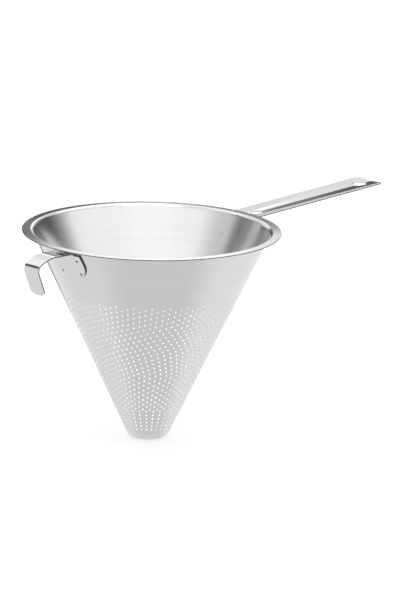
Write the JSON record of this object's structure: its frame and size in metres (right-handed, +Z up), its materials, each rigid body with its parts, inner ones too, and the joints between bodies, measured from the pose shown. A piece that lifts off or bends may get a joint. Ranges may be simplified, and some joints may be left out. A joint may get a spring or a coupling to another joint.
{
  "type": "conical strainer",
  "caption": "Perforated steel cone strainer with a turned-out rim, a creased strip handle with a hanging hole, and a hook that rests on a pot.",
  "frame": {"origin": "centre of the mouth, in the plane of the rim's upper face", "axes": "+Z up along the cone's axis, out of the mouth; +X along the handle, away from the cone; the hook points along -X"},
  "size_m": [0.3914, 0.2154, 0.1827],
  "materials": {
    "cone_steel": "satin, fine grain round the cone",
    "handle_steel": "satin, grain along the strip",
    "hook_steel": "satin, grain along the strip",
    "weld_steel": "dull, slightly darkened"
  },
  "bodies": {
    "root": {"perforated_cone": "cone_steel", "handle": "handle_steel", "hook": "hook_steel", "handle_spot_welds": "weld_steel", "hook_spot_welds": "weld_steel"}
  },
  "joints": []
}
